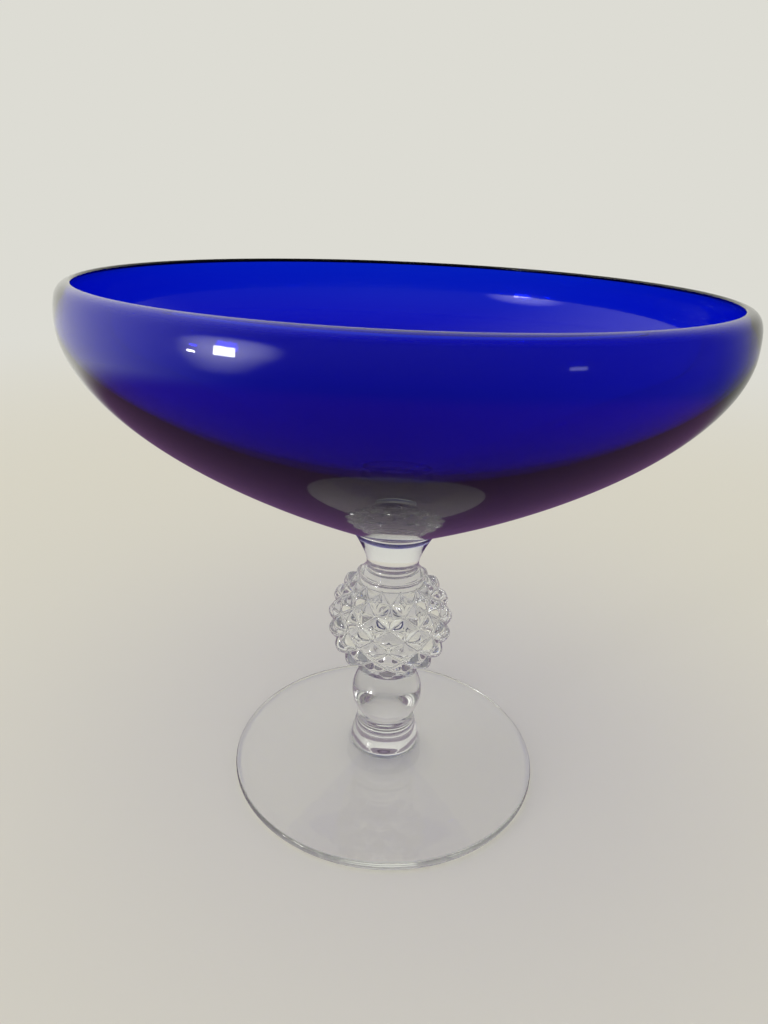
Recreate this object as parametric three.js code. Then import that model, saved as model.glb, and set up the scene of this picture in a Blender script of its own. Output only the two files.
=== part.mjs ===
// Footed candy dish in glass: a cobalt bowl with a turned-in rim, carried by a clear stem of neck,
// studded ball, plain ball and collar on a round foot. The pieces are joined hot, one on another.
// Millimetres, +Z up, with the origin on the table under the middle of the foot.

import * as THREE from 'three';

// Foot: a thin disc, hollow below, that rises to the collar
const FOOT_RADIUS = 43.4;
const FOOT_EDGE = 2.4; // thickness at the rim
const FOOT_HEIGHT = 6.8; // top of the seat for the collar
const FOOT_SAG = 0.4; // how far the top dips below a straight cone
const FOOT_HOLLOW = 2.2; // rise of the underside at the middle
const FOOT_EDGE_ROUND = 1.0;
const STANDING_RING = 3.6; // width of the flat ring that meets the table

// Collar between foot and plain ball
const COLLAR_HEIGHT = 8.6;
const COLLAR_BASE_RADIUS = 9.7;
const COLLAR_WAIST_RADIUS = 8.2;
const COLLAR_EDGE_ROUND = 0.5;

// Plain ball
const BALL_RADIUS = 9.9;
const BALL_LIFT = 7.9; // centre above the collar
const BALL_JOINT_RADIUS = 5.6; // where it meets the studded ball
const BALL_FILLET = 2.4; // height of the fillet out of the collar

// Studded ball
const STUDS_PER_ROW = 12;
const STUD_ROWS = 8;
const STUD_ROW_STEP = THREE.MathUtils.degToRad(12); // latitude from row to row
const GROOVE_RADIUS = 15.6; // where the grooves cross
const STUD_HEIGHT = 1.5; // tip above the grooves
const STUD_FULLNESS = 0.6; // below 1 the studs are fuller and the grooves sharper
const BALL_END_LIFT = 15.0; // flat end faces above and below the centre
const BALL_END_RADIUS = 7.8;
const BALL_END_ROUND = 0.9; // soft edge of the end faces

// Neck: a short waist that flares up to cup the bowl
const NECK_HEIGHT = 12.6; // to its outer edge under the bowl
const NECK_FOOT_RADIUS = 7.7;
const NECK_WAIST_RADIUS = 7.0;
const NECK_WAIST_LIFT = 2.1;
const NECK_SEAT_RADIUS = 11.2;
const NECK_FLARE = THREE.MathUtils.degToRad(28); // lean of the flare at the seat
const SEAT_GAP = 0.3; // between the neck's cup and the bowl

// Bowl: rounded bottom, bellied side, shoulder and turned-in rim
const BOWL_RADIUS = 76;
const BOWL_BASE_CURVE = 25.1; // radius of the rounded bottom
const BOWL_BASE_ANGLE = THREE.MathUtils.degToRad(27.2); // slope where the side takes over
const BOWL_SHOULDER_LIFT = 56.2; // widest point above the bottom
const BOWL_RIM_LIFT = 7.6; // rim above the widest point
const BOWL_RIM_INSET = 3.25; // lip's middle inside the widest point
const BOWL_LIP = 1.4; // lip's thickness
const BOWL_LIP_LEAN = THREE.MathUtils.degToRad(70); // inward lean of the wall at the lip
const BOWL_WALL = 2.2; // at the shoulder
const BOWL_FLOOR = 4.8; // at the bottom
const BOWL_SIDE_START = 36.7; // reach of the side's curve out of the bottom
const BOWL_SIDE_END = 17.8; // reach of the side's curve into the shoulder
const BOWL_CURL_START = 4.6; // reach of the rim's curve out of the shoulder
const BOWL_CURL_END = 2.7; // reach of the rim's curve into the lip

// Facets: round each piece, and along the curves of the profiles
const BOWL_SEGMENTS = 64;
const FOOT_SEGMENTS = 64;
const STEM_SEGMENTS = 40;
const STUD_STEPS = 2; // from a groove crossing to the next tip
const EDGE_STEPS = 3; // small rounded edges and the bowl's bottom
const FILLET_STEPS = 4;
const ARC_STEPS = 5; // the foot's top and hollow, the neck's cup and the lip
const FLARE_STEPS = 6; // the collar's side, the neck's flare and the rim's curl
const SIDE_STEPS = 10; // the bowl's side
const BALL_STEPS = 12;
const CURVE_EASE = 1 / 3; // reach of a curve's ends, in parts of its rise

// Heights of the joints, from the table up
const collarBase = FOOT_HEIGHT;
const ballBase = collarBase + COLLAR_HEIGHT;
const ballCentre = ballBase + BALL_LIFT;
const studdedBase = ballCentre + Math.sqrt(BALL_RADIUS ** 2 - BALL_JOINT_RADIUS ** 2);
const studdedCentre = studdedBase + BALL_END_LIFT;
const neckBase = studdedCentre + BALL_END_LIFT;
const neckEdge = neckBase + NECK_HEIGHT;

// The neck's cup and the bowl's rounded bottom are arcs about one centre on the axis
const cupCurve = BOWL_BASE_CURVE + SEAT_GAP;
const baseCentre = neckEdge + Math.sqrt(cupCurve ** 2 - NECK_SEAT_RADIUS ** 2);
const bowlBottom = baseCentre - BOWL_BASE_CURVE;

// Materials
function clearGlass() {
  return new THREE.MeshStandardMaterial({ color: '#dfe6e4', roughness: 0.04, metalness: 0, transparent: true,
    opacity: 0.35 });
}

function cobaltGlass() {
  return new THREE.MeshStandardMaterial({ color: '#0a0a9c', roughness: 0.05, metalness: 0, transparent: true,
    opacity: 0.75 });
}

// A point of a profile: distance from the axis and height
function at(radius, height) {
  return new THREE.Vector2(radius, height);
}

// An arc from one angle to another, as profile points
function arc(centre, radius, from, to, divisions) {
  const curve = new THREE.EllipseCurve(centre.x, centre.y, radius, radius, from, to, to < from);
  return curve.getPoints(divisions);
}

// A curve that leaves one point in a direction and arrives at another in a direction
function sweep(start, startAngle, startReach, end, endAngle, endReach) {
  const leave = at(Math.cos(startAngle), Math.sin(startAngle)).multiplyScalar(startReach).add(start);
  const arrive = at(Math.cos(endAngle), Math.sin(endAngle)).multiplyScalar(-endReach).add(end);
  return new THREE.CubicBezierCurve(start, leave, arrive, end);
}

// A solid turned about Z from a profile that starts on the axis below and ends on it above
function turned(profile, segments) {
  return new THREE.LatheGeometry(profile, segments).rotateX(Math.PI / 2);
}

const UP = Math.PI / 2;

function footGeometry() {
  const ringOuter = FOOT_RADIUS - FOOT_EDGE_ROUND;
  const ringInner = ringOuter - STANDING_RING;
  const hollowMiddle = at(ringInner / 2, FOOT_HOLLOW);
  const hollow = new THREE.QuadraticBezierCurve(at(0, FOOT_HOLLOW), hollowMiddle, at(ringInner, 0));
  const topStart = at(ringOuter, FOOT_EDGE);
  const topEnd = at(COLLAR_BASE_RADIUS, FOOT_HEIGHT);
  const topMiddle = topStart.clone().lerp(topEnd, 0.5).sub(at(0, FOOT_SAG * 2));
  const top = new THREE.QuadraticBezierCurve(topStart, topMiddle, topEnd);
  return turned([
    ...hollow.getPoints(ARC_STEPS),
    ...arc(at(ringOuter, FOOT_EDGE_ROUND), FOOT_EDGE_ROUND, -UP, 0, EDGE_STEPS),
    ...arc(at(ringOuter, FOOT_EDGE - FOOT_EDGE_ROUND), FOOT_EDGE_ROUND, 0, UP, EDGE_STEPS),
    ...top.getPoints(ARC_STEPS).slice(1),
    at(0, FOOT_HEIGHT),
  ], FOOT_SEGMENTS);
}

function collarGeometry() {
  const edge = at(COLLAR_BASE_RADIUS - COLLAR_EDGE_ROUND, collarBase + COLLAR_EDGE_ROUND);
  const side = sweep(at(COLLAR_BASE_RADIUS, edge.y), UP, COLLAR_HEIGHT * CURVE_EASE,
    at(COLLAR_WAIST_RADIUS, ballBase), UP, COLLAR_HEIGHT * CURVE_EASE);
  return turned([
    at(0, collarBase),
    ...arc(edge, COLLAR_EDGE_ROUND, -UP, 0, EDGE_STEPS),
    ...side.getPoints(FLARE_STEPS).slice(1),
    at(0, ballBase),
  ], STEM_SEGMENTS);
}

function ballGeometry() {
  const filletEnd = Math.asin((BALL_FILLET - BALL_LIFT) / BALL_RADIUS);
  const jointAngle = Math.acos(BALL_JOINT_RADIUS / BALL_RADIUS);
  const sphere = arc(at(0, ballCentre), BALL_RADIUS, filletEnd, jointAngle, BALL_STEPS);
  const fillet = sweep(at(COLLAR_WAIST_RADIUS, ballBase), UP, BALL_FILLET * CURVE_EASE,
    sphere[0], filletEnd + UP, BALL_FILLET * CURVE_EASE);
  return turned([
    at(0, ballBase),
    ...fillet.getPoints(FILLET_STEPS),
    ...sphere.slice(1),
    at(0, studdedBase),
  ], STEM_SEGMENTS);
}

// Height of the studs at a place of the grid, counted in rows and columns. The grooves run slantwise through
// every other crossing of the grid, and between each four of them one stud swells to its tip.
function studSwell(row, column) {
  const along = (row + column) / 2;
  const across = (row - column) / 2;
  const studRow = Math.floor(along) + Math.floor(across) + 1;
  if (studRow < 1 || studRow > STUD_ROWS) {
    return 0;
  }
  const dome = (place) => 4 * (place - Math.floor(place)) * (Math.ceil(place) - place);
  return STUD_HEIGHT * (dome(along) * dome(across)) ** STUD_FULLNESS;
}

// Whether a square of the grid is folded from its lower left to its upper right corner: the fold that
// lies nearer to the swell in the middle is taken, so the grooves stay sharp and the studs full.
function foldsRising(row, column) {
  const step = 1 / STUD_STEPS;
  const middle = studSwell(row + step / 2, column + step / 2);
  const rising = (studSwell(row, column) + studSwell(row + step, column + step)) / 2;
  const falling = (studSwell(row, column + step) + studSwell(row + step, column)) / 2;
  return Math.abs(rising - middle) < Math.abs(falling - middle);
}

// The studded ball is a grid of rings between two smooth ends, with two columns to a stud
function studdedBallGeometry() {
  const columns = 2 * STUDS_PER_ROW * STUD_STEPS;
  const lastLatitude = STUD_ROW_STEP * (STUD_ROWS + 1) / 2;
  const ends = [
    at(BALL_END_RADIUS, BALL_END_LIFT),
    at(BALL_END_RADIUS + BALL_END_ROUND, BALL_END_LIFT - BALL_END_ROUND),
  ];
  const rings = ends.map((end) => () => at(end.x, -end.y));
  for (let step = 0; step <= (STUD_ROWS + 1) * STUD_STEPS; step += 1) {
    const row = step / STUD_STEPS;
    const latitude = row * STUD_ROW_STEP - lastLatitude;
    const outward = at(Math.cos(latitude), Math.sin(latitude));
    rings.push((column) => outward.clone().multiplyScalar(GROOVE_RADIUS + studSwell(row, column)));
  }
  rings.push(() => ends[1], () => ends[0]);

  const positions = [];
  for (const pointAt of rings) {
    for (let column = 0; column < columns; column += 1) {
      const turn = column / columns * 2 * Math.PI;
      const point = pointAt(column / STUD_STEPS);
      positions.push(point.x * Math.sin(turn), -point.x * Math.cos(turn), studdedCentre + point.y);
    }
  }
  const bottomMiddle = rings.length * columns;
  positions.push(0, 0, studdedBase);
  const topMiddle = bottomMiddle + 1;
  positions.push(0, 0, neckBase);

  const faces = [];
  const index = (ring, column) => ring * columns + column % columns;
  const lastRing = rings.length - 1;
  for (let column = 0; column < columns; column += 1) {
    faces.push(bottomMiddle, index(0, column + 1), index(0, column));
    faces.push(topMiddle, index(lastRing, column), index(lastRing, column + 1));
    for (let ring = 0; ring < lastRing; ring += 1) {
      const corners = [index(ring, column), index(ring, column + 1),
        index(ring + 1, column + 1), index(ring + 1, column)];
      const [a, b, c, d] = corners;
      if (foldsRising((ring - ends.length) / STUD_STEPS, column / STUD_STEPS)) {
        faces.push(a, b, c, a, c, d);
      } else {
        faces.push(a, b, d, b, c, d);
      }
    }
  }
  const geometry = new THREE.BufferGeometry();
  geometry.setAttribute('position', new THREE.Float32BufferAttribute(positions, 3));
  geometry.setIndex(faces);
  geometry.computeVertexNormals();
  return geometry;
}

function neckGeometry() {
  const waist = at(NECK_WAIST_RADIUS, neckBase + NECK_WAIST_LIFT);
  const edge = at(NECK_SEAT_RADIUS, neckEdge);
  const filletReach = NECK_WAIST_LIFT * CURVE_EASE;
  const fillet = sweep(at(NECK_FOOT_RADIUS, neckBase), UP, filletReach, waist, UP, filletReach);
  const flareReach = (edge.y - waist.y) * CURVE_EASE;
  const flare = sweep(waist, UP, flareReach, edge, UP - NECK_FLARE, flareReach);
  const cupAngle = Math.asin(NECK_SEAT_RADIUS / cupCurve);
  return turned([
    at(0, neckBase),
    ...fillet.getPoints(FILLET_STEPS),
    ...flare.getPoints(FLARE_STEPS).slice(1),
    ...arc(at(0, baseCentre), cupCurve, cupAngle - UP, -UP, ARC_STEPS).slice(1),
  ], STEM_SEGMENTS);
}

// Outer curves of the bowl from the bottom to the lip, each with its wall at both ends
function bowlWall() {
  const shoulder = at(BOWL_RADIUS, bowlBottom + BOWL_SHOULDER_LIFT);
  const lipMiddle = at(BOWL_RADIUS - BOWL_RIM_INSET, shoulder.y + BOWL_RIM_LIFT - BOWL_LIP / 2);
  const lipLean = at(Math.cos(BOWL_LIP_LEAN), Math.sin(BOWL_LIP_LEAN));
  const lipOuter = lipLean.multiplyScalar(BOWL_LIP / 2).add(lipMiddle);
  const bottom = new THREE.EllipseCurve(0, baseCentre, BOWL_BASE_CURVE, BOWL_BASE_CURVE,
    -UP, BOWL_BASE_ANGLE - UP);
  const side = sweep(bottom.getPoint(1), BOWL_BASE_ANGLE, BOWL_SIDE_START, shoulder, UP, BOWL_SIDE_END);
  const curl = sweep(shoulder, UP, BOWL_CURL_START, lipOuter, UP + BOWL_LIP_LEAN, BOWL_CURL_END);
  return {
    lipMiddle,
    curves: [
      { curve: bottom, divisions: EDGE_STEPS, wall: [BOWL_FLOOR, BOWL_FLOOR] },
      { curve: side, divisions: SIDE_STEPS, wall: [BOWL_FLOOR, BOWL_WALL] },
      { curve: curl, divisions: FLARE_STEPS, wall: [BOWL_WALL, BOWL_LIP] },
    ],
  };
}

function bowlGeometry() {
  const { lipMiddle, curves } = bowlWall();
  const outer = [];
  const inner = [];
  for (const { curve, divisions, wall } of curves) {
    for (let step = outer.length ? 1 : 0; step <= divisions; step += 1) {
      const along = step / divisions;
      const point = curve.getPoint(along);
      const tangent = curve.getTangent(along);
      const thickness = THREE.MathUtils.lerp(wall[0], wall[1], along);
      outer.push(point);
      inner.push(at(-tangent.y, tangent.x).multiplyScalar(thickness).add(point));
    }
  }
  const lip = arc(lipMiddle, BOWL_LIP / 2, BOWL_LIP_LEAN, BOWL_LIP_LEAN + Math.PI, ARC_STEPS);
  return turned([...outer, ...lip.slice(1, -1), ...inner.reverse()], BOWL_SEGMENTS);
}

// The dish, from the table up
const PIECES = [
  ['foot', footGeometry, clearGlass],
  ['foot_collar', collarGeometry, clearGlass],
  ['ball_knop', ballGeometry, clearGlass],
  ['studded_ball', studdedBallGeometry, clearGlass],
  ['stem_neck', neckGeometry, clearGlass],
  ['bowl', bowlGeometry, cobaltGlass],
];

const dish = new THREE.Group();
for (const [name, geometry, material] of PIECES) {
  const piece = new THREE.Mesh(geometry(), material());
  piece.name = name;
  dish.add(piece);
}

export default dish;
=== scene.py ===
# Footed candy dish: a cobalt glass bowl on a clear glass stem and foot, with its stage and camera.
# Metres, +Z up, with the origin on the table under the middle of the foot.
import math

import bmesh
import bpy
from bpy.props import FloatProperty, FloatVectorProperty, IntProperty, PointerProperty
from mathutils import Matrix, Vector
from mathutils.geometry import interpolate_bezier


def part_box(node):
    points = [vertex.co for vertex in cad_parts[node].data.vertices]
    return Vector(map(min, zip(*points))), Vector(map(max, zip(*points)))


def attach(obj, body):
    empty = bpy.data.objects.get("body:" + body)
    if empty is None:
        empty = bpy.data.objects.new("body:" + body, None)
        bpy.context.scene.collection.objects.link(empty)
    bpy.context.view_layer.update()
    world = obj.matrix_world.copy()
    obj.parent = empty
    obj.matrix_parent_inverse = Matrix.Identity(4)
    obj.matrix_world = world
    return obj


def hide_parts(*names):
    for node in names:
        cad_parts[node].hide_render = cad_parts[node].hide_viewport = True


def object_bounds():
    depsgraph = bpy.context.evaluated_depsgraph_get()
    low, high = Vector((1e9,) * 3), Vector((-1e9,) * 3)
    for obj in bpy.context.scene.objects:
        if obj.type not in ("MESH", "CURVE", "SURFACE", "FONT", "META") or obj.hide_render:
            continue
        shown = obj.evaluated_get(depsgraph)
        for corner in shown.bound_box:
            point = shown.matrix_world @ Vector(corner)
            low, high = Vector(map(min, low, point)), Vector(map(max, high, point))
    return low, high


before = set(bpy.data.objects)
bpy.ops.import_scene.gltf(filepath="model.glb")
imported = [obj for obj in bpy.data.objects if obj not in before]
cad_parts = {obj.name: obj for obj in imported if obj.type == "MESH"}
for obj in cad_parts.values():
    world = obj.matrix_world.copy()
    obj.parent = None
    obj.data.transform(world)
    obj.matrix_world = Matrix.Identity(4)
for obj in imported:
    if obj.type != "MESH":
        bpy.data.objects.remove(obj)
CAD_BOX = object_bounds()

bl_info = {
    "name": "Footed candy dish",
    "version": (1, 0, 0),
    "blender": (4, 5, 0),
    "location": "View3D > Sidebar > Dish",
    "description": "Builds a cobalt glass bowl on a clear pressed stem, with its stage and camera",
    "category": "Object",
}

MM = 0.001
FULL_TURN = 2 * math.pi
UP = math.pi / 2

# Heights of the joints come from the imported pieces
FOOT_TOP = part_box("foot")[1].z
COLLAR_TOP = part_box("foot_collar")[1].z
BALL_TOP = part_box("ball_knop")[1].z
STUDDED_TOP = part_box("studded_ball")[1].z
BOWL_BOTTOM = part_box("bowl")[0].z

# Facets: STUD_CELLS is the number of steps from a groove crossing to the next tip, which the stem follows
STUD_CELLS = 10
CURVE_STEPS = 24
LIP_STEPS = 16
BOWL_FACETS = 240
WELD = 0.001 * MM

# Reach of a curve's ends, in parts of its rise
CURVE_EASE = 1 / 3

# How sharply the four faces of a stud meet, the rise below which a place lies in a groove, and how far one
# pass of the fire polish evens the glass out
RIDGE_SHARPNESS = 6
GROOVE_FLOOR = 0.0001
FIRE_POLISH = 0.5

# Traces of handling: their spacing, the part of their pattern that shows as haze, and how soft the bloom is
HANDLING_SPACING = 14 * MM
HANDLING_START = 0.45
HANDLING_FULL = 0.75
BLOOM_ROUGHNESS = 0.22

# Light runs a long way inside thick clear glass before it leaves
LIGHT_BOUNCES = 32


def linear(hex_colour):
    """An sRGB hex colour as the linear red, green and blue that Blender works in."""
    channels = [int(hex_colour[i:i + 2], 16) / 255 for i in (1, 3, 5)]
    return [c / 12.92 if c <= 0.04045 else ((c + 0.055) / 1.055) ** 2.4 for c in channels]


def length(name, description, metres):
    """A setting for a length."""
    return FloatProperty(name=name, description=description, default=metres, min=0.0, precision=5,
                         unit="LENGTH", subtype="DISTANCE")


def angle(name, description, degrees):
    """A setting for an angle, kept in radians."""
    return FloatProperty(name=name, description=description, default=math.radians(degrees),
                         unit="ROTATION", subtype="ANGLE")


def colour(name, description, hex_colour):
    """A setting for a colour, kept as linear light."""
    return FloatVectorProperty(name=name, description=description, default=linear(hex_colour),
                               min=0.0, max=1.0, size=3, subtype="COLOR")


def amount(name, description, value):
    """A setting for a plain number."""
    return FloatProperty(name=name, description=description, default=value, min=0.0)


def count(name, description, value):
    """A setting for a whole number."""
    return IntProperty(name=name, description=description, default=value, min=0)


class BowlSettings(bpy.types.PropertyGroup):
    """Sizes of the blown bowl."""

    radius: length("Radius", "Widest radius, at the shoulder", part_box("bowl")[1].x)
    base_curve: length("Base curve", "Radius of the rounded bottom", 25.1 * MM)
    base_slope: angle("Base slope", "Slope where the side takes over from the bottom", 27.2)
    shoulder_lift: length("Shoulder lift", "Widest point above the bottom", 56.2 * MM)
    rim_lift: length("Rim lift", "Rim above the widest point", 7.6 * MM)
    rim_inset: length("Rim inset", "Middle of the lip inside the widest point", 3.45 * MM)
    lip: length("Lip", "Thickness of the fire-polished lip", 1.0 * MM)
    lip_lean: angle("Lip lean", "Inward lean of the wall at the lip", 85.0)
    wall: length("Wall", "Thickness at the shoulder", 1.5 * MM)
    floor: length("Floor", "Thickness at the bottom", 4.8 * MM)
    side_start: length("Side start", "Reach of the side's curve out of the bottom", 36.7 * MM)
    side_end: length("Side end", "Reach of the side's curve into the shoulder", 17.8 * MM)
    curl_start: length("Curl start", "Reach of the rim's curve out of the shoulder", 4.6 * MM)
    curl_end: length("Curl end", "Reach of the rim's curve into the lip", 2.9 * MM)


class StemSettings(bpy.types.PropertyGroup):
    """Sizes of the pressed stem and foot, one body of clear glass."""

    foot_radius: length("Foot radius", "Radius of the disc foot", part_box("foot")[1].x)
    foot_edge: length("Foot edge", "Thickness of the foot at its rim", 2.4 * MM)
    foot_round: length("Foot round", "Rounding of the foot's rim", 1.0 * MM)
    foot_sag: length("Foot sag", "How far the top dips below a straight cone", 0.4 * MM)
    foot_hollow: length("Foot hollow", "Rise of the underside at the middle", 2.2 * MM)
    standing_ring: length("Standing ring", "Width of the flat ring on the table", 3.6 * MM)
    collar_base: length("Collar base", "Radius of the collar's lower edge", 9.7 * MM)
    collar_waist: length("Collar waist", "Radius of the collar under the plain ball", 8.2 * MM)
    collar_edge: length("Collar edge", "Height of the collar's upright lower edge", 0.5 * MM)
    ball_radius: length("Ball radius", "Radius of the plain ball", 9.9 * MM)
    ball_lift: length("Ball lift", "Centre of the plain ball above the collar", 7.9 * MM)
    ball_fillet: length("Ball fillet", "Height of the fillet out of the collar", 2.4 * MM)
    studs_per_row: count("Studs per row", "Studs in a row round the ball", 12)
    stud_rows: count("Stud rows", "Rows of studs on the ball", 8)
    stud_step: angle("Stud step", "Latitude from one row of studs to the next", 12.0)
    groove_radius: length("Groove radius", "Radius where the grooves cross", 15.6 * MM)
    stud_height: length("Stud height", "Tip of a stud above the grooves", 1.5 * MM)
    tip_round: amount("Tip round", "Rounding of a stud's tip, in parts of half its width", 0.4)
    stud_softness: count("Stud softness", "Passes of smoothing by the fire polish", 1)
    end_lift: length("End lift", "End of the studded ball above and below its centre", 15.0 * MM)
    end_radius: length("End radius", "Radius of the smooth end rings", 7.8 * MM)
    end_round: length("End round", "Rounding of the smooth end rings", 0.9 * MM)
    neck_waist: length("Neck waist", "Smallest radius of the neck", 7.0 * MM)
    waist_lift: length("Waist lift", "Waist above the studded ball", 2.1 * MM)
    neck_seat: length("Neck seat", "Radius where the neck meets the bowl", 10.7 * MM)
    neck_flare: angle("Neck flare", "Lean of the flare at the bowl", 28.0)
    neck_round: length("Neck round", "Rounding of the neck's upper edge", 0.45 * MM)
    weld: length("Weld", "How far the neck's cup is melted into the bowl", 0.25 * MM)


class GlassSettings(bpy.types.PropertyGroup):
    """Colours and indices of the two glasses."""

    cobalt: colour("Cobalt", "Tint that deep cobalt glass leaves in the light", "#00a3fb")
    cobalt_depth: amount("Cobalt depth", "Absorption of the cobalt glass for each metre of glass", 4400.0)
    cobalt_ior: amount("Cobalt IOR", "Refractive index of the cobalt glass", 1.52)
    clear: colour("Clear", "Tint that clear glass leaves in the light", "#e4ede6")
    clear_depth: amount("Clear depth", "Absorption of the clear glass for each metre of glass", 6.0)
    clear_ior: amount("Clear IOR", "Refractive index of the clear glass", 1.53)


class StageSettings(bpy.types.PropertyGroup):
    """Floor, background and camera."""

    floor: colour("Floor", "Colour of the floor", "#d6d3cb")
    # Painted shade: a darker purple that the floor shows only where it mirrors in the glass, not the floor's
    # own colour
    shade: colour("Shade", "Colour of the floor as it mirrors in the glass", "#6e4f78")
    background: colour("Background", "Colour behind the dish", "#dddcd4")
    camera_distance: length("Camera distance", "Camera in front of the stem's axis", 177.98 * MM)
    camera_height: length("Camera height", "Camera above the table", 151.27 * MM)
    camera_turn: angle("Camera turn", "Camera turned towards the right of the dish", -0.944)
    camera_tilt: angle("Camera tilt", "Camera tilted down", 22.389)
    camera_roll: angle("Camera roll", "Camera rolled clockwise", -2.455)
    lens: FloatProperty(name="Lens", description="Focal length on a 36 mm high sensor, in millimetres",
                        default=25.95, subtype="DISTANCE_CAMERA")


def point(radius, height):
    """A point of an outline that is turned about Z."""
    return Vector((radius, 0.0, height))


def polar(centre, radius, turn):
    """The point of an outline at a distance from a centre, in a direction."""
    return centre + point(radius * math.cos(turn), radius * math.sin(turn))


def arc(centre, radius, start, stop, steps):
    """An arc of an outline from one angle to another, ends included."""
    return [polar(centre, radius, start + (stop - start) * i / steps) for i in range(steps + 1)]


def sweep(start, start_turn, start_reach, end, end_turn, end_reach, steps=CURVE_STEPS):
    """A curve that leaves one point in a direction and arrives at another in a direction, ends included."""
    leave = polar(start, start_reach, start_turn)
    arrive = polar(end, -end_reach, end_turn)
    return interpolate_bezier(start, leave, arrive, end, steps + 1)


def eased(share):
    """A share from 0 to 1 that starts and ends slowly."""
    return share * share * (3 - 2 * share)


def turned(outline, facets):
    """Turns an outline about Z into a skin, closed where the outline meets the axis."""
    bm = bmesh.new()
    verts = [bm.verts.new(p) for p in outline]
    edges = [bm.edges.new(pair) for pair in zip(verts, verts[1:])]
    bmesh.ops.spin(bm, geom=verts + edges, cent=(0, 0, 0), axis=(0, 0, 1), dvec=(0, 0, 0), angle=FULL_TURN,
                   steps=facets, use_merge=True, use_normal_flip=False, use_duplicate=False)
    bmesh.ops.remove_doubles(bm, verts=bm.verts, dist=WELD)
    return bm


def gather(bm, other):
    """Adds the skin of another bmesh to the first."""
    mesh = bpy.data.meshes.new("gathered")
    other.to_mesh(mesh)
    other.free()
    bm.from_mesh(mesh)
    bpy.data.meshes.remove(mesh)


def piece_from(bm, name, material, slot, *nodes):
    """Makes a finished piece of the dish, which stands for the named nodes."""
    if any(not e.is_manifold for e in bm.edges):
        raise RuntimeError(f"{name} isn't a closed skin")
    bmesh.ops.recalc_face_normals(bm, faces=bm.faces)
    mesh = bpy.data.meshes.new(name)
    bm.to_mesh(mesh)
    bm.free()
    mesh.shade_smooth()
    mesh.materials.append(material)
    piece = bpy.data.objects.new(name, mesh)
    bpy.context.scene.collection.objects.link(piece)
    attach(piece, "root")
    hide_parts(*nodes)


def bowl_outline(bowl):
    """Outer skin from the bottom up, over the lip, and down the inner skin. The wall thins smoothly from the
    bottom to the shoulder and again into the lip, so that the ends of the bowl show no step."""
    base = point(0.0, BOWL_BOTTOM + bowl.base_curve)
    shoulder = point(bowl.radius, BOWL_BOTTOM + bowl.shoulder_lift)
    lip_middle = shoulder + point(-bowl.rim_inset, bowl.rim_lift - bowl.lip / 2)
    lip_outer = polar(lip_middle, bowl.lip / 2, bowl.lip_lean)
    bottom = arc(base, bowl.base_curve, -UP, bowl.base_slope - UP, CURVE_STEPS)
    side = sweep(bottom[-1], bowl.base_slope, bowl.side_start, shoulder, UP, bowl.side_end, 3 * CURVE_STEPS)
    curl = sweep(shoulder, UP, bowl.curl_start, lip_outer, UP + bowl.lip_lean, bowl.curl_end)
    outer = bottom + side[1:] + curl[1:]
    thickness = [bowl.floor] * CURVE_STEPS
    thickness += [bowl.floor + (bowl.wall - bowl.floor) * eased(i / len(side)) for i in range(len(side))]
    thickness += [bowl.wall + (bowl.lip - bowl.wall) * (i / CURVE_STEPS) ** 2 for i in range(1, len(curl))]
    inner = [point(0.0, BOWL_BOTTOM + bowl.floor)]
    for before, here, after, depth in zip(outer, outer[1:], outer[2:], thickness[1:]):
        along = (after - before).normalized()
        inner.append(here + depth * Vector((-along.z, 0.0, along.x)))
    lip = arc(lip_middle, bowl.lip / 2, bowl.lip_lean, bowl.lip_lean + math.pi, LIP_STEPS)
    return outer + lip[1:] + inner[::-1]


def foot_outline(stem):
    """Hollow underside, standing ring, rounded rim and the top that rises to the collar."""
    ring_outer = stem.foot_radius - stem.foot_round
    ring_inner = ring_outer - stem.standing_ring
    middle = point(0.0, stem.foot_hollow)
    ring = point(ring_inner, 0.0)
    rim = point(ring_outer, stem.foot_edge)
    collar = point(stem.collar_base, FOOT_TOP)
    hollow = sweep(middle, 0.0, ring_inner / 2, ring, 0.0, stem.standing_ring)
    sag = (rim + collar) / 2 - point(0.0, 2 * stem.foot_sag)
    top = interpolate_bezier(rim, rim.lerp(sag, 2 / 3), collar.lerp(sag, 2 / 3), collar, CURVE_STEPS + 1)
    lower = arc(point(ring_outer, stem.foot_round), stem.foot_round, -UP, 0.0, LIP_STEPS)
    upper = arc(point(ring_outer, stem.foot_edge - stem.foot_round), stem.foot_round, 0.0, UP, LIP_STEPS)
    return hollow + lower + upper + top[1:]


def collar_outline(stem):
    """Upright lower edge and the side that draws in under the plain ball."""
    start = point(stem.collar_base, FOOT_TOP + stem.collar_edge)
    end = point(stem.collar_waist, COLLAR_TOP)
    reach = (end.z - start.z) * CURVE_EASE
    return sweep(start, UP, reach, end, UP, reach)


def ball_outline(stem):
    """Fillet out of the collar and the plain ball up to its joint."""
    centre = point(0.0, COLLAR_TOP + stem.ball_lift)
    fillet_turn = math.asin((stem.ball_fillet - stem.ball_lift) / stem.ball_radius)
    joint_turn = math.asin((BALL_TOP - centre.z) / stem.ball_radius)
    ball = arc(centre, stem.ball_radius, fillet_turn, joint_turn, 2 * CURVE_STEPS)
    start = point(stem.collar_waist, COLLAR_TOP)
    reach = stem.ball_fillet * CURVE_EASE
    fillet = sweep(start, UP, reach, ball[0], fillet_turn + UP, reach, LIP_STEPS)
    return fillet[1:] + ball[1:]


def end_ring(stem, centre, side):
    """Smooth end of the studded ball, from its joint out towards the studs. Side is -1 below and 1 above."""
    middle = point(stem.end_radius, centre + side * (stem.end_lift - stem.end_round))
    return arc(middle, stem.end_round, side * UP / 2, 0.0, LIP_STEPS)


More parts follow.
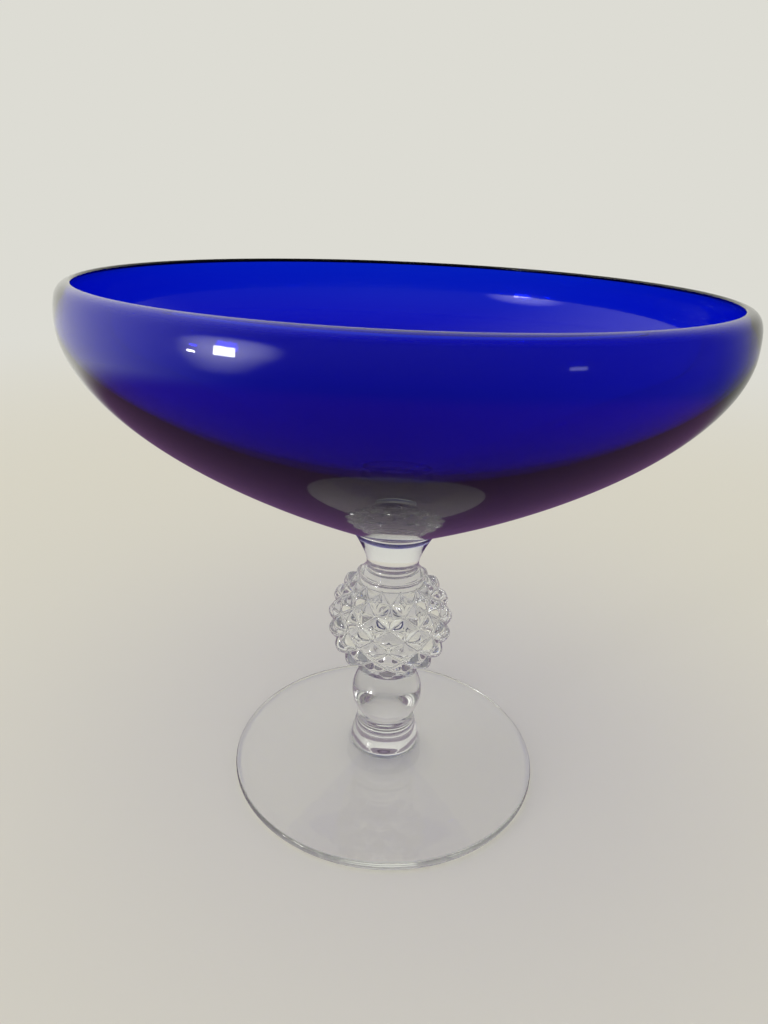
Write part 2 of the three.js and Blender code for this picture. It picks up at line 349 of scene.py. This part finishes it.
def neck_outline(stem, bowl):
    """Waist on the studded ball, flare to the bowl, rounded edge and the cup that is melted into the bowl."""
    waist = point(stem.neck_waist, STUDDED_TOP + stem.waist_lift)
    ring = point(stem.end_radius, STUDDED_TOP - stem.end_round)
    start = polar(ring, stem.end_round, UP / 2)
    reach = (waist.z - start.z) * CURVE_EASE
    fillet = sweep(start, 3 * UP / 2, reach, waist, UP, reach, LIP_STEPS)
    base = point(0.0, BOWL_BOTTOM + bowl.base_curve)
    cup_radius = bowl.base_curve - stem.weld
    seat_turn = math.asin(stem.neck_seat / bowl.base_curve) - UP
    cup = arc(base, cup_radius, seat_turn, -UP, CURVE_STEPS)
    middle = polar(base, cup_radius + stem.neck_round, seat_turn)
    edge = arc(middle, stem.neck_round, -stem.neck_flare, seat_turn + math.pi, LIP_STEPS)
    reach = (edge[0].z - waist.z) * CURVE_EASE
    flare = sweep(waist, UP, reach, edge[0], UP - stem.neck_flare, reach)
    return fillet[1:] + flare[1:] + edge[1:] + cup[1:-1] + [point(0.0, cup[-1].z)]


def stud_rise(aside, tip_round):
    """Rise of a stud's face, from 1 at the tip to 0 in the groove: straight, with a rounded tip."""
    return 1 - (math.hypot(aside, tip_round) - tip_round) / (math.hypot(1, tip_round) - tip_round)


def stud_swell(stem, row, column):
    """Height of the studs at a place of the lattice, counted in rows and columns. The grooves run slantwise
    through every other crossing, and between each four of them one stud swells to its tip."""
    along = (row + column) / 2
    across = (row - column) / 2
    if not 0 <= math.floor(along) + math.floor(across) < stem.stud_rows:
        return 0.0
    rises = [stud_rise(abs(2 * (place % 1) - 1), stem.tip_round) for place in (along, across)]
    if min(rises) < GROOVE_FLOOR:
        return 0.0
    mean = sum(rise ** -RIDGE_SHARPNESS for rise in rises) / 2
    return stem.stud_height * mean ** (-1 / RIDGE_SHARPNESS)


def studded_band(stem, centre):
    """The pressed ball between its smooth ends: a flat lattice of studs, wrapped round the ball and
    fire-polished."""
    columns = 2 * stem.studs_per_row
    rows = stem.stud_rows + 1
    bm = bmesh.new()
    bmesh.ops.create_grid(bm, x_segments=columns, y_segments=rows, size=0.5)
    bmesh.ops.scale(bm, vec=(columns, rows, 1), verts=bm.verts)
    bmesh.ops.translate(bm, vec=(0, rows / 2, 0), verts=bm.verts)
    crossings = [v for v in bm.verts if (round(v.co.x) + round(v.co.y)) % 2 == 0]
    bmesh.ops.connect_verts(bm, verts=crossings)
    bmesh.ops.subdivide_edges(bm, edges=bm.edges, cuts=STUD_CELLS - 1, use_grid_fill=True)
    for vert in bm.verts:
        column, row, _ = vert.co
        reach = stem.groove_radius + stud_swell(stem, row, column)
        around = column * FULL_TURN / columns
        latitude = (row - rows / 2) * stem.stud_step
        flat = reach * math.cos(latitude)
        vert.co = (flat * math.sin(around), -flat * math.cos(around), centre + reach * math.sin(latitude))
    bmesh.ops.remove_doubles(bm, verts=bm.verts, dist=WELD)
    inside = [v for v in bm.verts if not v.is_boundary]
    for _ in range(stem.stud_softness):
        bmesh.ops.smooth_vert(bm, verts=inside, factor=FIRE_POLISH,
                              use_axis_x=True, use_axis_y=True, use_axis_z=True)
    return bm


def feed(tree, socket, value):
    """Gives a node's input a constant, or links it to another node's output."""
    if isinstance(value, bpy.types.NodeSocket):
        tree.links.new(value, socket)
    else:
        socket.default_value = value


def add(tree, kind, *values, **settings):
    """Adds a node. Values go to its inputs in order. A setting names an input, with _ for a space, or else a
    property of the node."""
    node = tree.nodes.new(kind)
    for name, value in settings.items():
        socket = node.inputs.get(name.replace("_", " "))
        if socket is None:
            setattr(node, name, value)
        else:
            feed(tree, socket, value)
    for socket, value in zip(node.inputs, values):
        feed(tree, socket, value)
    return node


def blank_tree(owner):
    """The empty node tree of a material or a world."""
    owner.use_nodes = True
    owner.node_tree.nodes.clear()
    return owner.node_tree


def glass(name, tint, depth, ior, wave, wave_height, smear, bloom):
    """Glass that colours light by its thickness, with the slow waves of its making and traces of handling.
    wave is the spacing of the waves and wave_height their height. smear is the haze of handling, and bloom
    the soft sheen round a highlight."""
    material = bpy.data.materials.new(name)
    tree = blank_tree(material)
    place = add(tree, "ShaderNodeTexCoord").outputs["Object"]
    waves = add(tree, "ShaderNodeTexNoise", Vector=place, Scale=1 / wave, Detail=1.0)
    bump = add(tree, "ShaderNodeBump", Height=waves.outputs["Fac"], Strength=1.0, Distance=wave_height)
    handling = add(tree, "ShaderNodeTexNoise", Vector=place, Scale=1 / HANDLING_SPACING, Detail=4.0)
    haze = add(tree, "ShaderNodeMapRange", Value=handling.outputs["Fac"], From_Min=HANDLING_START,
               From_Max=HANDLING_FULL, To_Min=0.0, To_Max=smear)
    surface = add(tree, "ShaderNodeBsdfPrincipled", Base_Color=(1, 1, 1, 1), IOR=ior, Transmission_Weight=1.0,
                  Roughness=haze.outputs["Result"], Normal=bump.outputs["Normal"], Coat_Weight=bloom,
                  Coat_Roughness=BLOOM_ROUGHNESS)
    inside = add(tree, "ShaderNodeVolumeAbsorption", Color=(*tint, 1.0), Density=depth)
    add(tree, "ShaderNodeOutputMaterial", Surface=surface.outputs["BSDF"], Volume=inside.outputs["Volume"])
    return material


def cobalt_glass(look):
    """Blown soda glass with cobalt oxide, fire-polished: clear blue where it is thin, near black where it is
    thick, with a soft bloom round the highlights."""
    return glass("cobalt_soda_glass", look.cobalt, look.cobalt_depth, look.cobalt_ior,
                 wave=30 * MM, wave_height=0.01 * MM, smear=0.04, bloom=0.2)


def clear_glass(look):
    """Pressed clear glass: bright edges and sparkling studs, with the soft waves that a mould leaves."""
    return glass("clear_pressed_glass", look.clear, look.clear_depth, look.clear_ior,
                 wave=7 * MM, wave_height=0.012 * MM, smear=0.02, bloom=0.0)


class DISH_OT_bowl(bpy.types.Operator):
    """Blow the cobalt bowl with its rounded bottom, bellied side and turned-in rim"""

    bl_idname = "dish.bowl"
    bl_label = "Cobalt bowl"

    def execute(self, context):
        bm = turned(bowl_outline(context.scene.dish_bowl), BOWL_FACETS)
        material = cobalt_glass(context.scene.dish_glass)
        piece_from(bm, "cobalt_bowl", material, "cobalt_glass", "bowl")
        return {"FINISHED"}


class DISH_OT_stem(bpy.types.Operator):
    """Press the clear stem and foot as one body: foot, collar, plain ball, studded ball and neck"""

    bl_idname = "dish.stem"
    bl_label = "Clear stem and foot"

    def execute(self, context):
        stem = context.scene.dish_stem
        centre = STUDDED_TOP - stem.end_lift
        facets = 2 * stem.studs_per_row * STUD_CELLS
        bm = studded_band(stem, centre)
        below = foot_outline(stem) + collar_outline(stem) + ball_outline(stem) + end_ring(stem, centre, -1)
        above = end_ring(stem, centre, 1)[::-1] + neck_outline(stem, context.scene.dish_bowl)
        for outline in (below, above):
            gather(bm, turned(outline, facets))
        for side in (-1, 1):
            loops = [e for e in bm.edges if e.is_boundary and side * (e.verts[0].co.z - centre) > 0]
            bmesh.ops.bridge_loops(bm, edges=loops)
        material = clear_glass(context.scene.dish_glass)
        nodes = ("foot", "foot_collar", "ball_knop", "studded_ball", "stem_neck")
        piece_from(bm, "clear_stem", material, "clear_glass", *nodes)
        return {"FINISHED"}


class DISH_OT_stage(bpy.types.Operator):
    """Set the floor, the background, the lamps and the camera"""

    bl_idname = "dish.stage"
    bl_label = "Stage and camera"

    def execute(self, context):
        stage = context.scene.dish_stage
        make_floor(stage)
        make_background(context.scene, stage)
        make_lamps()
        make_camera(context.scene, stage)
        context.scene.view_settings.view_transform = "Standard"
        for kind in ("max_bounces", "glossy_bounces", "transmission_bounces"):
            setattr(context.scene.cycles, kind, LIGHT_BOUNCES)
        # Blurred light would leave the floor under the clear foot too dark
        context.scene.cycles.blur_glossy = 0.0
        return {"FINISHED"}


def towards(around, raised):
    """A direction: degrees round from the front to the right, and above the horizon."""
    turn = math.radians(around)
    lift = math.radians(raised)
    return Vector((math.sin(turn) * math.cos(lift), -math.cos(turn) * math.cos(lift), math.sin(lift)))


# Floor: its size, its depth under the standing ring, and where it fades out as seen and as mirrored, where
# the painted shade gives way to the painted room reflection
FLOOR_RADIUS = 4.0
FLOOR_FACETS = 96
FLOOR_DROP = 0.15 * MM
SEEN_FADE = (0.25, 0.8)
MIRRORED_FADE = (0.24, 0.42)

# Light of the room: a direction, the range of facing it, and the dimmest and the brightest light
# The wall and the window glow are painted reflections, which only the glass shows; the dome is the light on
# the floor
PAINTED_WALL_REFLECTION = (towards(-148, 0), -0.35, 1.0, 0.1, 1.2)
PAINTED_WINDOW_GLOW = (towards(-52, 5), 0.945, 1.0, 0.0, 3.5)
DOME = (towards(-40, 38), 0.0, 0.95, 1.05, 1.75)

# Share of the painted reflection, painted shade and painted room, in light that was turned round inside the
# glass
TURNED_SHARE = 0.65

# Lamps: name, degrees round from the front to the right and above the horizon, distance, width, height, watts
LAMPS = (
    ("key_window", -51.4, 2.0, 1.5, 0.18, 0.22, 3.0),
    ("side_window", -62.4, -1.8, 1.5, 0.07, 0.035, 0.35),
    ("far_window", 50.0, 1.0, 1.5, 0.14, 0.08, 0.06),
)
LAMP_TARGET = Vector((0.0, 0.0, 0.1))

# Camera: height of its sensor, in millimetres, and the nearest thing that it shows
SENSOR = 36.0
NEAREST = 5 * MM


def ramp(tree, value, start, stop, low=0.0, high=1.0):
    """A smooth change from low to high while a value goes from start to stop."""
    node = add(tree, "ShaderNodeMapRange", Value=value, From_Min=start, From_Max=stop,
               To_Min=low, To_Max=high, interpolation_type="SMOOTHSTEP")
    return node.outputs["Result"]


def side_light(tree, place, direction, start, stop, low, high):
    """Light from one side of the room, which grows as a place, seen from the dish, lies in that direction."""
    unit = add(tree, "ShaderNodeVectorMath", place, operation="NORMALIZE").outputs["Vector"]
    facing = add(tree, "ShaderNodeVectorMath", unit, direction, operation="DOT_PRODUCT").outputs["Value"]
    return ramp(tree, facing, start, stop, low, high)


def painted_room_reflection(tree, place):
    """Painted reflection of the room, seen only in the glass: a pale wall behind the dish, to the left, a dim
    front, and a painted glow round the window at the front left."""
    wall = side_light(tree, place, *PAINTED_WALL_REFLECTION)
    glow = side_light(tree, place, *PAINTED_WINDOW_GLOW)
    return add(tree, "ShaderNodeMath", wall, glow, operation="ADD").outputs["Value"]


def ray_share(tree, *kinds):
    """1 for light that comes to the eye in one of these kinds of ray, and 0 for light that lights the matt
    floor: one turn at a matt surface outweighs all the turns in glass."""
    rays = add(tree, "ShaderNodeLightPath").outputs
    share = rays[kinds[0]]
    for kind in kinds[1:]:
        share = add(tree, "ShaderNodeMath", share, rays[kind], operation="MAXIMUM").outputs["Value"]
    unscattered = add(tree, "ShaderNodeMath", rays["Diffuse Depth"], -2 * LIGHT_BOUNCES, share,
                      operation="MULTIPLY_ADD", use_clamp=True)
    return unscattered.outputs["Value"]


def mirror_share(tree):
    """Share of the painted reflection, painted shade and painted room, in what is seen: whole in a
    reflection, less in light turned round inside the glass."""
    rays = add(tree, "ShaderNodeLightPath").outputs
    inside = add(tree, "ShaderNodeMapRange", Value=rays["Is Transmission Ray"],
                 To_Min=1.0, To_Max=TURNED_SHARE)
    share = add(tree, "ShaderNodeMath", ray_share(tree, "Glossy Depth"), inside.outputs["Result"],
                operation="MULTIPLY")
    return share.outputs["Value"]


def choose(tree, share, first, second):
    """Two shaders in turn: the first where the share is 0 and the second where it is 1."""
    return add(tree, "ShaderNodeMixShader", share, first, second).outputs["Shader"]


def matt_floor(stage):
    """Plain matt floor. Far from the dish it fades into the background. What mirrors in the glass is painted:
    near the dish a painted shade, darker and more purple than the floor, and farther off a painted reflection
    of the room, so that the cobalt keeps its depth."""
    material = bpy.data.materials.new("matt_floor")
    tree = blank_tree(material)
    place = add(tree, "ShaderNodeTexCoord").outputs["Object"]
    distance = add(tree, "ShaderNodeVectorMath", place, operation="LENGTH").outputs["Value"]
    near = add(tree, "ShaderNodeBsdfDiffuse", Color=(*stage.floor, 1.0))
    far = add(tree, "ShaderNodeEmission", Color=(*stage.background, 1.0), Strength=1.0)
    # Painted shade: the floor as only reflections in the glass see it, darker and purple
    painted_shade = add(tree, "ShaderNodeBsdfDiffuse", Color=(*stage.shade, 1.0))
    from_rim = add(tree, "ShaderNodeVectorMath", place, (0, 0, CAD_BOX[1].z), operation="SUBTRACT")
    # Painted reflection: far from the dish the floor glows like a pale wall with a window glow, but only
    # where it mirrors in the glass
    room = add(tree, "ShaderNodeEmission", Color=(*stage.background, 1.0),
               Strength=painted_room_reflection(tree, from_rim.outputs["Vector"]))
    seen_fade = ramp(tree, distance, *SEEN_FADE)
    seen = choose(tree, seen_fade, near.outputs["BSDF"], far.outputs["Emission"])
    mirrored_fade = ramp(tree, distance, *MIRRORED_FADE)
    mirrored = choose(tree, mirrored_fade, painted_shade.outputs["BSDF"], room.outputs["Emission"])
    add(tree, "ShaderNodeOutputMaterial", Surface=choose(tree, mirror_share(tree), seen, mirrored))
    return material


def make_floor(stage):
    """A wide plain disc, just under the standing ring."""
    bm = bmesh.new()
    bmesh.ops.create_circle(bm, cap_ends=True, segments=FLOOR_FACETS, radius=FLOOR_RADIUS)
    bmesh.ops.translate(bm, vec=(0, 0, -FLOOR_DROP), verts=bm.verts)
    mesh = bpy.data.meshes.new("floor")
    bm.to_mesh(mesh)
    bm.free()
    mesh.materials.append(matt_floor(stage))
    floor = bpy.data.objects.new("floor", mesh)
    bpy.context.scene.collection.objects.link(floor)


def make_background(scene, stage):
    """The studio round the dish. What is seen directly or through glass is the pale background. What mirrors
    in the glass is a painted reflection of the room. The floor is lit by a soft dome of light, brightest
    above the front left."""
    world = bpy.data.worlds.new("studio")
    tree = blank_tree(world)
    place = add(tree, "ShaderNodeTexCoord").outputs["Generated"]
    seen = add(tree, "ShaderNodeMapRange", Value=ray_share(tree, "Is Camera Ray", "Is Transmission Ray"),
               To_Min=side_light(tree, place, *DOME), To_Max=1.0)
    strength = add(tree, "ShaderNodeMapRange", Value=mirror_share(tree), To_Min=seen.outputs["Result"],
                   To_Max=painted_room_reflection(tree, place))
    studio = add(tree, "ShaderNodeBackground", Color=(*stage.background, 1.0),
                 Strength=strength.outputs["Result"])
    add(tree, "ShaderNodeOutputWorld", Surface=studio.outputs["Background"])
    scene.world = world


def make_lamps():
    """A window to the left of the camera, a slim one beside it and a far one to the right. They give the
    highlights."""
    for name, around, raised, distance, width, height, watts in LAMPS:
        lamp = bpy.data.lights.new(name, "AREA")
        lamp.shape = "RECTANGLE"
        lamp.size = width
        lamp.size_y = height
        lamp.energy = watts
        holder = bpy.data.objects.new(name, lamp)
        away = towards(around, raised)
        holder.location = LAMP_TARGET + distance * away
        holder.rotation_euler = away.to_track_quat("Z", "Y").to_euler()
        holder.visible_camera = False
        bpy.context.scene.collection.objects.link(holder)


def make_camera(scene, stage):
    """The photograph's view: close in front, a little above the rim."""
    lens = bpy.data.cameras.new("camera")
    lens.sensor_fit = "VERTICAL"
    lens.sensor_height = SENSOR
    lens.sensor_width = SENSOR
    lens.lens = stage.lens
    lens.clip_start = NEAREST
    camera = bpy.data.objects.new("camera", lens)
    place = Matrix.Translation((0.0, -stage.camera_distance, stage.camera_height))
    turn = Matrix.Rotation(-stage.camera_turn, 4, "Z")
    tilt = Matrix.Rotation(UP - stage.camera_tilt, 4, "X")
    roll = Matrix.Rotation(-stage.camera_roll, 4, "Z")
    camera.matrix_world = place @ turn @ tilt @ roll
    scene.collection.objects.link(camera)
    scene.camera = camera


class DISH_PT_sidebar(bpy.types.Panel):
    """Builds the dish piece by piece"""

    bl_idname = "DISH_PT_sidebar"
    bl_label = "Footed candy dish"
    bl_space_type = "VIEW_3D"
    bl_region_type = "UI"
    bl_category = "Dish"

    def draw(self, context):
        for operator in OPERATORS:
            self.layout.operator(operator.bl_idname)


SETTINGS = {
    "dish_bowl": BowlSettings,
    "dish_stem": StemSettings,
    "dish_glass": GlassSettings,
    "dish_stage": StageSettings,
}
OPERATORS = (DISH_OT_bowl, DISH_OT_stem, DISH_OT_stage)


def register():
    for name, group in SETTINGS.items():
        bpy.utils.register_class(group)
        setattr(bpy.types.Scene, name, PointerProperty(type=group))
    for cls in (*OPERATORS, DISH_PT_sidebar):
        bpy.utils.register_class(cls)


def unregister():
    for cls in (DISH_PT_sidebar, *OPERATORS):
        bpy.utils.unregister_class(cls)
    for name, group in SETTINGS.items():
        delattr(bpy.types.Scene, name)
        bpy.utils.unregister_class(group)


def main():
    register()
    bpy.ops.dish.bowl()
    bpy.ops.dish.stem()
    bpy.ops.dish.stage()


if __name__ == "__main__":
    main()
